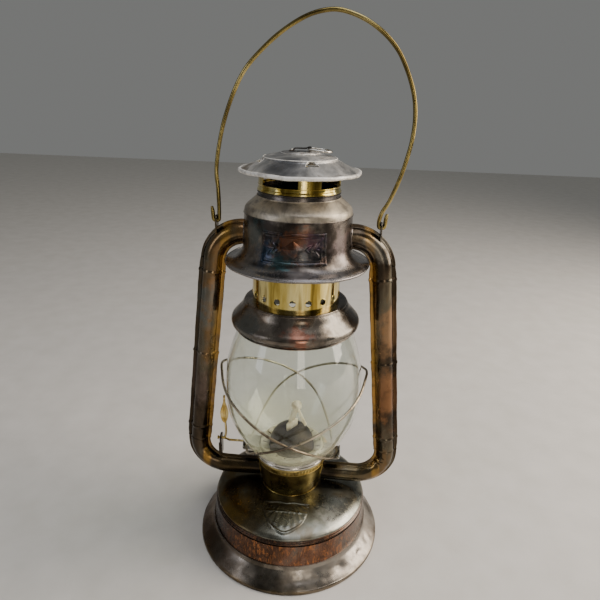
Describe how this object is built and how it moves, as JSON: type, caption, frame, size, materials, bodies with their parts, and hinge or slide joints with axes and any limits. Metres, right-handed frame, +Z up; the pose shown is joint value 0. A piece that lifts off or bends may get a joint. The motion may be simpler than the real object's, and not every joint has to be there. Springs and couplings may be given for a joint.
{
  "type": "ship lantern",
  "caption": "Tubular oil lantern with a lifting glass globe, wire guard, vented hood, side air tubes, round fuel fount and a swinging wire bail.",
  "frame": {"origin": "centre of the base, on the surface it stands on", "axes": "+Z up, +X through the two side tubes towards the right one, -Y to the front"},
  "size_m": [0.1968, 0.17, 0.4501],
  "materials": {
    "fount_steel": "worn satin, grey to brown",
    "band_copper": "coppery heat tint with fine upright streaks",
    "skirt_steel": "worn, dented, brown to silver",
    "cup_brass": "dull aged brass",
    "burner_brass": "aged brass",
    "tube_bronze": "dark bronzed plating with copper and gold patches",
    "hood_steel": "aged nickel with heat tint",
    "dark_steel": "dark, smoked, glossy",
    "spring_steel": "dull wire",
    "plate_steel": "bright worn plating",
    "gallery_tin": "cream tarnished tin",
    "globe_glass": "clear, slightly green and hazy",
    "guard_wire": "dark brassed wire",
    "bright_brass": "polished brass",
    "cap_steel": "pale weathered plating",
    "lever_brass": "bright worn brass",
    "bail_brass": "golden olive brass",
    "wick_cotton": "cream cotton",
    "gasket": "black"
  },
  "bodies": {
    "frame": {"fount_dome": "fount_steel", "fount_band": "band_copper", "fount_bottom": "skirt_steel", "base_skirt": "skirt_steel", "fount_badge": "fount_steel", "filler_neck": "cup_brass", "burner_collar": "burner_brass", "burner_body": "burner_brass", "wick_tube": "burner_brass", "burner_dome": "burner_brass", "air_cup": "cup_brass", "left_lower_elbow": "tube_bronze", "right_lower_elbow": "tube_bronze", "left_lower_tube": "tube_bronze", "right_lower_tube": "tube_bronze", "left_upper_tube": "tube_bronze", "right_upper_tube": "tube_bronze", "left_upper_elbow": "tube_bronze", "right_upper_elbow": "tube_bronze", "hood": "hood_steel", "hood_cartouche": "hood_steel", "chimney_guide": "dark_steel", "chimney_spring": "spring_steel", "left_bail_ear": "tube_bronze", "right_bail_ear": "tube_bronze", "lever_bracket": "lever_brass"},
    "carriage": {"globe_plate": "plate_steel", "gallery": "gallery_tin", "globe": "globe_glass", "left_guard_loop": "guard_wire", "right_guard_loop": "guard_wire"},
    "chimney": {"globe_bell": "dark_steel", "bell_seat": "dark_steel", "draft_ring": "bright_brass", "chimney_tube": "dark_steel", "cap_collar": "bright_brass", "rain_cap": "cap_steel", "ring_clip": "dark_steel", "clip_rivets": "cap_steel"},
    "lift_ring": {"lift_ring": "plate_steel"},
    "lever": {"lift_lever": "lever_brass", "thumb_pad": "lever_brass"},
    "bail": {"bail": "bail_brass"},
    "wick_raiser": {"wick_shaft": "burner_brass", "wick_sprockets": "burner_brass", "wick_knob": "burner_brass"},
    "wick": {"wick": "wick_cotton"},
    "filler_seal": {"filler_gasket": "gasket"},
    "filler_cap": {"filler_cap": "cup_brass"}
  },
  "joints": [
    {"name": "bail_swing", "type": "hinge", "parent": "frame", "child": "bail", "pos_m": [0, 0, 0.299], "axis": [1, 0, 0], "range_deg": [-125, 125]},
    {"name": "globe_lift", "type": "slide", "parent": "frame", "child": "carriage", "axis": [0, 0, 1], "range_m": [0, 0.0127]},
    {"name": "lever_turn", "type": "hinge", "parent": "frame", "child": "lever", "pos_m": [-0.066, 0, 0.09258], "axis": [1, 0, 0], "range_deg": [0, 71.63]},
    {"name": "chimney_lift", "type": "slide", "parent": "carriage", "child": "chimney", "axis": [0, 0, 1], "range_m": [0, 0.017], "stiffness_N_per_m": 200, "springref_m": -0.01, "deforming": ["chimney_spring"]},
    {"name": "lift_ring_swing", "type": "hinge", "parent": "chimney", "child": "lift_ring", "pos_m": [0.0066, 0, 0.3562], "axis": [0, 1, 0], "range_deg": [-165, 0]},
    {"name": "wick_knob_turn", "type": "hinge", "parent": "frame", "child": "wick_raiser", "pos_m": [0.0046, -0.00386, 0.075], "axis": [0.6428, 0.766, 0], "range_deg": [-75, 120]},
    {"name": "wick_feed", "type": "slide", "parent": "frame", "child": "wick", "axis": [0, 0, 1], "range_m": [-0.0066, 0.0106]},
    {"name": "filler_cap_rise", "type": "slide", "parent": "frame", "child": "filler_seal", "axis": [0, 0, 1], "range_m": [0, 0.00501]},
    {"name": "filler_cap_turn", "type": "hinge", "parent": "filler_seal", "child": "filler_cap", "pos_m": [-0.01612, 0.0468, 0.06], "axis": [0, 0, 1], "range_deg": [0, 720]}
  ],
  "couplings": [
    {"joint": "lever_turn", "follows": "globe_lift", "rad_per_m": 98.37},
    {"joint": "wick_feed", "follows": "wick_knob_turn", "m_per_rad": 0.005},
    {"joint": "filler_cap_rise", "follows": "filler_cap_turn", "m_per_rad": 0.00039789}
  ]
}
